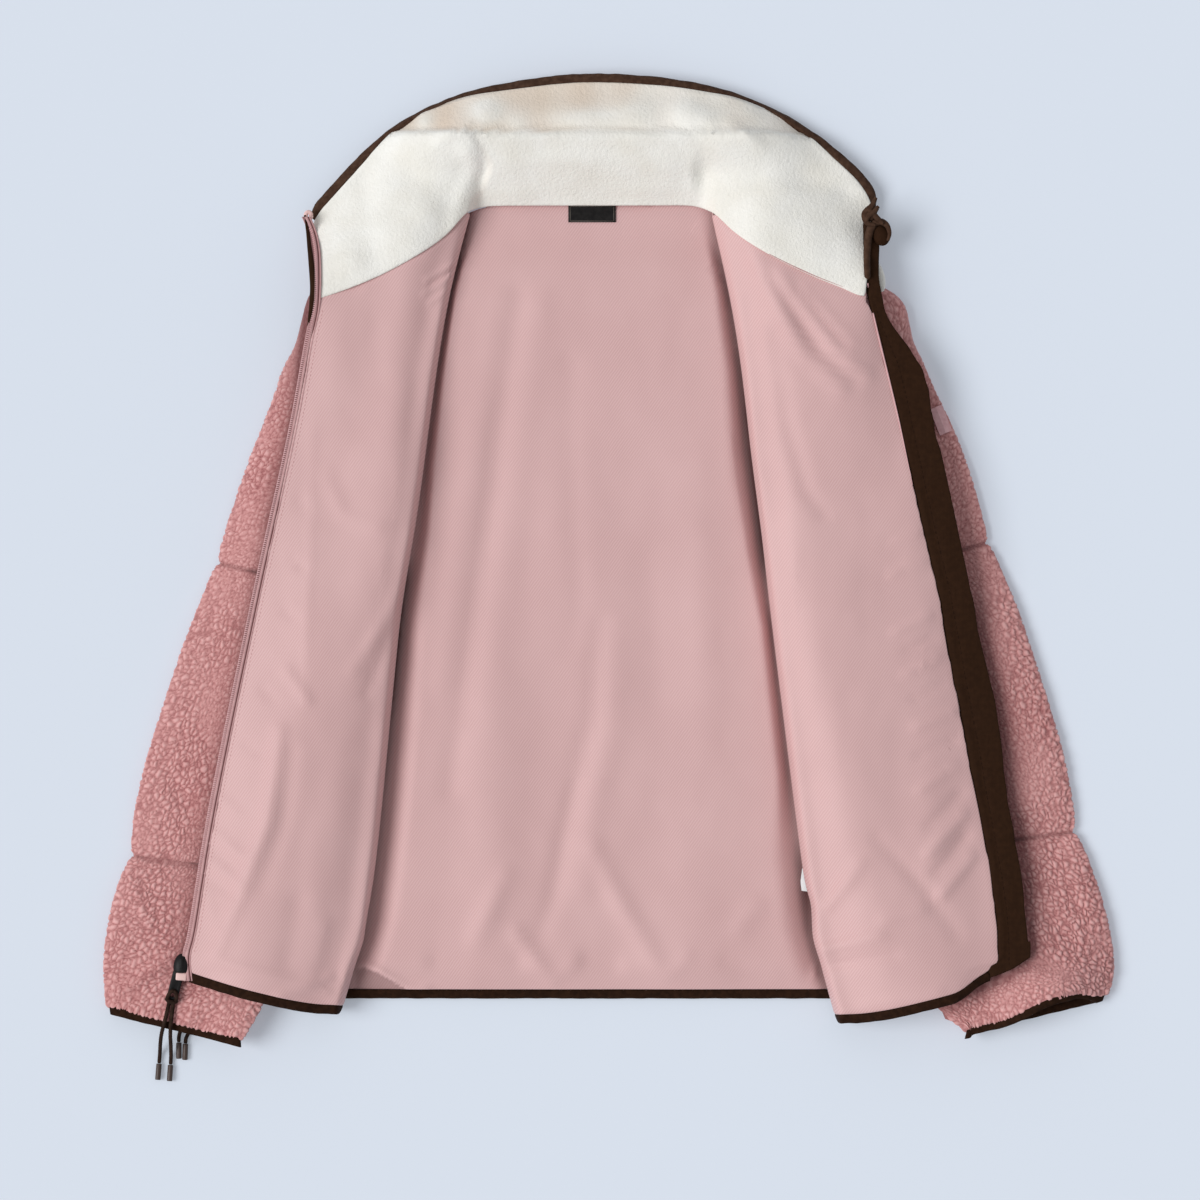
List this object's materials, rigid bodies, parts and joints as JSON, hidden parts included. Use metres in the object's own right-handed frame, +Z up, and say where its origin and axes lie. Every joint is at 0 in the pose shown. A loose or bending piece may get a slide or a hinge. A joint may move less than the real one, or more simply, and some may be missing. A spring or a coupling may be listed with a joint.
{
  "type": "sherpa fleece zip jacket",
  "caption": "Sherpa fleece full-zip jacket with a tall stand collar, laid open on its back, its fronts folded out over the sleeves and its twill lining showing.",
  "frame": {"origin": "middle of the underside of the garment as it lies, on the surface that it rests on", "axes": "+X across the garment toward the wearer's left sleeve, +Y from the hem up to the collar, +Z up from the surface"},
  "size_m": [0.8094, 0.8085, 0.0469],
  "materials": {
    "pink_sherpa": "curly dusty pink sherpa pile",
    "pink_twill": "fine diagonal twill lining with a soft sheen",
    "cream_plush": "short cream plush",
    "brown_binding": "dark brown stretch binding",
    "brown_flap": "dark brown woven placket cloth",
    "pink_zip_tape": "dusty pink woven zip tape",
    "black_plastic": "satin black moulded plastic",
    "pale_pink_plastic": "pale pink moulded plastic",
    "brown_cord": "braided brown cord",
    "brown_cord_tip": "brown shrink-tube cord tips",
    "black_label": "plain black woven label",
    "white_label": "plain white satin care label",
    "pink_patch": "plain pink woven patch with a pale edge"
  },
  "bodies": {
    "jacket": {"back_outer": "pink_sherpa", "back_lining": "pink_twill", "front_right_outer": "pink_sherpa", "front_right_lining": "pink_twill", "front_left_outer": "pink_sherpa", "front_left_lining": "pink_twill", "sleeve_right_upper": "pink_sherpa", "sleeve_right_middle": "pink_sherpa", "sleeve_right_lower": "pink_sherpa", "sleeve_left_upper": "pink_sherpa", "sleeve_left_middle": "pink_sherpa", "sleeve_left_lower": "pink_sherpa", "collar_outer": "pink_sherpa", "collar_lining": "cream_plush", "collar_binding": "brown_binding", "hem_binding_back": "brown_binding", "hem_binding_right": "brown_binding", "hem_binding_left": "brown_binding", "cuff_binding_right": "brown_binding", "cuff_binding_left": "brown_binding", "wind_flap": "brown_flap", "zip_tape_right": "pink_zip_tape", "zip_tape_left": "pink_zip_tape", "zip_slider": "black_plastic", "zip_box": "pale_pink_plastic", "hem_cord_a": "brown_cord", "hem_cord_b": "brown_cord", "hem_tip_a": "brown_cord_tip", "hem_tip_b": "brown_cord_tip", "neck_label": "black_label", "care_label": "white_label", "sleeve_patch": "pink_patch"},
    "tab": {"pull_tab": "black_plastic", "pull_cord_a": "brown_cord", "pull_cord_b": "brown_cord", "pull_tip_a": "brown_cord_tip", "pull_tip_b": "brown_cord_tip"}
  },
  "joints": [
    {"name": "tab_swing", "type": "hinge", "parent": "jacket", "child": "tab", "pos_m": [-0.34299, -0.32266, 0.0266], "axis": [-0.9673, 0.2538, 0], "range_deg": [0, 14]}
  ]
}
